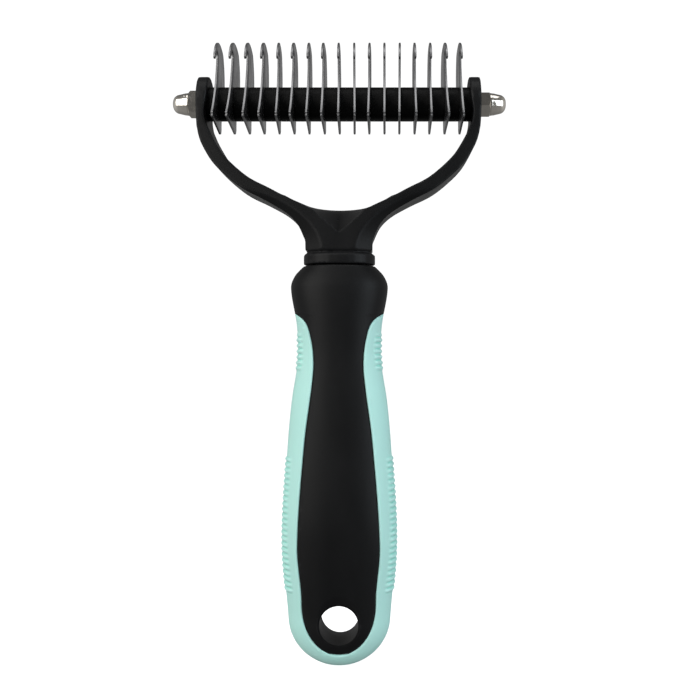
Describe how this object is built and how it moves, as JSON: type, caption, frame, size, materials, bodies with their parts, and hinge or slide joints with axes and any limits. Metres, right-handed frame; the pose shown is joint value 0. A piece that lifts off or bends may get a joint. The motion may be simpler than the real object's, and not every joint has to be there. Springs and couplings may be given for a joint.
{
  "type": "deshedding tool",
  "caption": "Pet dematting rake with hooked steel blades on an axle between the arms of a black fork, and a two-tone soft-grip handle with a hang hole.",
  "frame": {"origin": "centre of the hang hole, halfway through the handle's thickness", "axes": "+Z along the handle towards the blades, +X along the blade axle, -Y out of the front face, the way the hooks point; the hang hole runs along Y"},
  "size_m": [0.0996, 0.0247, 0.186],
  "materials": {
    "fork_plastic": "satin black moulded plastic",
    "handle_plastic": "fine-grained satin black moulded plastic",
    "grip_rubber": "soft matt mint moulded rubber with fine ribs",
    "axle_steel": "bright turned steel",
    "blade_steel": "polished and ground stainless steel",
    "spacer_plastic": "semi-gloss black plastic",
    "nickel": "bright nickel plate"
  },
  "bodies": {
    "frame": {"fork": "fork_plastic", "handle_core": "handle_plastic", "grip_sleeve": "grip_rubber"},
    "blade_head": {"axle": "axle_steel", "blade_01": "blade_steel", "blade_02": "blade_steel", "blade_03": "blade_steel", "blade_04": "blade_steel", "blade_05": "blade_steel", "blade_06": "blade_steel", "blade_07": "blade_steel", "blade_08": "blade_steel", "blade_09": "blade_steel", "blade_10": "blade_steel", "blade_11": "blade_steel", "blade_12": "blade_steel", "blade_13": "blade_steel", "blade_14": "blade_steel", "blade_15": "blade_steel", "blade_16": "blade_steel", "blade_17": "blade_steel", "spacer_01": "spacer_plastic", "spacer_02": "spacer_plastic", "spacer_03": "spacer_plastic", "spacer_04": "spacer_plastic", "spacer_05": "spacer_plastic", "spacer_06": "spacer_plastic", "spacer_07": "spacer_plastic", "spacer_08": "spacer_plastic", "spacer_09": "spacer_plastic", "spacer_10": "spacer_plastic", "spacer_11": "spacer_plastic", "spacer_12": "spacer_plastic", "spacer_13": "spacer_plastic", "spacer_14": "spacer_plastic", "spacer_15": "spacer_plastic", "spacer_16": "spacer_plastic", "spacer_17": "spacer_plastic", "spacer_18": "spacer_plastic"},
    "left_washer": {"washer_left": "nickel"},
    "right_washer": {"washer_right": "nickel"},
    "left_nut": {"cap_nut_left": "nickel"},
    "right_nut": {"cap_nut_right": "nickel"}
  },
  "joints": [
    {"name": "blade_head_tilt", "type": "hinge", "parent": "frame", "child": "blade_head", "pos_m": [0, 0, 0.1545], "axis": [1, 0, 0], "range_deg": [-115, 20]},
    {"name": "left_washer_travel", "type": "slide", "parent": "blade_head", "child": "left_washer", "axis": [-1, 0, 0], "range_m": [0, 0.0049]},
    {"name": "left_nut_turn", "type": "hinge", "parent": "left_washer", "child": "left_nut", "pos_m": [-0.0418, 0, 0.1545], "axis": [-1, 0, 0], "range_deg": [0, 2521]},
    {"name": "right_washer_travel", "type": "slide", "parent": "blade_head", "child": "right_washer", "axis": [1, 0, 0], "range_m": [0, 0.0049]},
    {"name": "right_nut_turn", "type": "hinge", "parent": "right_washer", "child": "right_nut", "pos_m": [0.0418, 0, 0.1545], "axis": [1, 0, 0], "range_deg": [0, 2521]}
  ],
  "couplings": [
    {"joint": "left_nut_turn", "follows": "left_washer_travel", "rad_per_m": 8976},
    {"joint": "right_nut_turn", "follows": "right_washer_travel", "rad_per_m": 8976}
  ]
}
